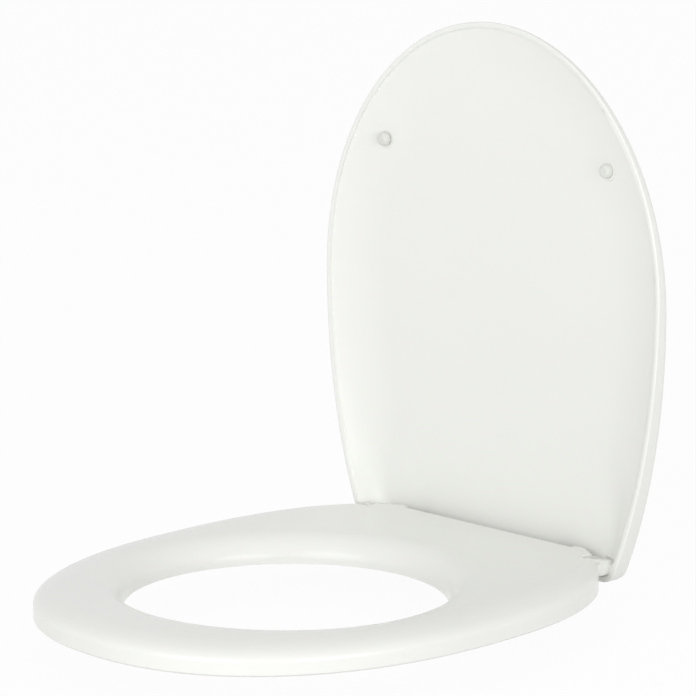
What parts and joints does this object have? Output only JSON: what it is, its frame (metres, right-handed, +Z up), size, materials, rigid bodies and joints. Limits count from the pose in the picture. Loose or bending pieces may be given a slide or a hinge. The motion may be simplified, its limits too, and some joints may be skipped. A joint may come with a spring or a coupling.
{
  "type": "toilet seat",
  "caption": "White toilet seat with a crowned ring and a domed lid standing open, both turning on hinge pins, with soft buffers and adjustable fixing bolts under hand nuts.",
  "frame": {"origin": "midway between the two fixing bolts, on the top face of the bowl that the seat stands on", "axes": "+Z up, the front of the seat points to -Y, +X to the right of someone facing +Y, the middle plane is X = 0"},
  "size_m": [0.374, 0.4445, 0.4669],
  "materials": {
    "ring_plastic": "smooth glossy white moulding",
    "lid_plastic": "smooth glossy white moulding",
    "hinge_plastic": "smooth white moulding",
    "soft_buffer": "milky grey soft plastic",
    "pin_steel": "drawn stainless rod",
    "bolt_plastic": "off-white nylon",
    "washer_rubber": "matt black rubber"
  },
  "bodies": {
    "hinge": {"hinge_post_left": "hinge_plastic", "hinge_pin_left": "pin_steel", "hinge_post_right": "hinge_plastic", "hinge_pin_right": "pin_steel"},
    "ring": {"seat_ring": "ring_plastic", "ring_buffer_front_left": "soft_buffer", "ring_buffer_rear_left": "soft_buffer", "ring_buffer_front_right": "soft_buffer", "ring_buffer_rear_right": "soft_buffer"},
    "lid": {"lid": "lid_plastic", "lid_buffer_left": "soft_buffer", "lid_buffer_right": "soft_buffer"},
    "base_left": {"adjuster_disc_left": "hinge_plastic", "fixing_bolt_left": "bolt_plastic", "rubber_washer_left": "washer_rubber", "flat_washer_left": "bolt_plastic"},
    "nut_left": {"wing_nut_left": "bolt_plastic"},
    "base_right": {"adjuster_disc_right": "hinge_plastic", "fixing_bolt_right": "bolt_plastic", "rubber_washer_right": "washer_rubber", "flat_washer_right": "bolt_plastic"},
    "nut_right": {"wing_nut_right": "bolt_plastic"}
  },
  "joints": [
    {"name": "ring_hinge", "type": "hinge", "parent": "hinge", "child": "ring", "pos_m": [0, -0.0065, 0.0215], "axis": [-1, 0, 0], "range_deg": [0, 90]},
    {"name": "lid_hinge", "type": "hinge", "parent": "hinge", "child": "lid", "pos_m": [0, -0.0065, 0.0215], "axis": [-1, 0, 0], "range_deg": [-90.8, 0]},
    {"name": "disc_swivel_left", "type": "hinge", "parent": "hinge", "child": "base_left", "pos_m": [-0.0775, -0.0065, 0], "axis": [0, 0, 1], "range_deg": [-90, 90]},
    {"name": "nut_spin_left", "type": "hinge", "parent": "base_left", "child": "nut_left", "pos_m": [-0.0775, 0, -0.021], "axis": [0, 0, 1], "continuous": true},
    {"name": "disc_swivel_right", "type": "hinge", "parent": "hinge", "child": "base_right", "pos_m": [0.0775, -0.0065, 0], "axis": [0, 0, 1], "range_deg": [-90, 90]},
    {"name": "nut_spin_right", "type": "hinge", "parent": "base_right", "child": "nut_right", "pos_m": [0.0775, 0, -0.021], "axis": [0, 0, 1], "continuous": true}
  ]
}
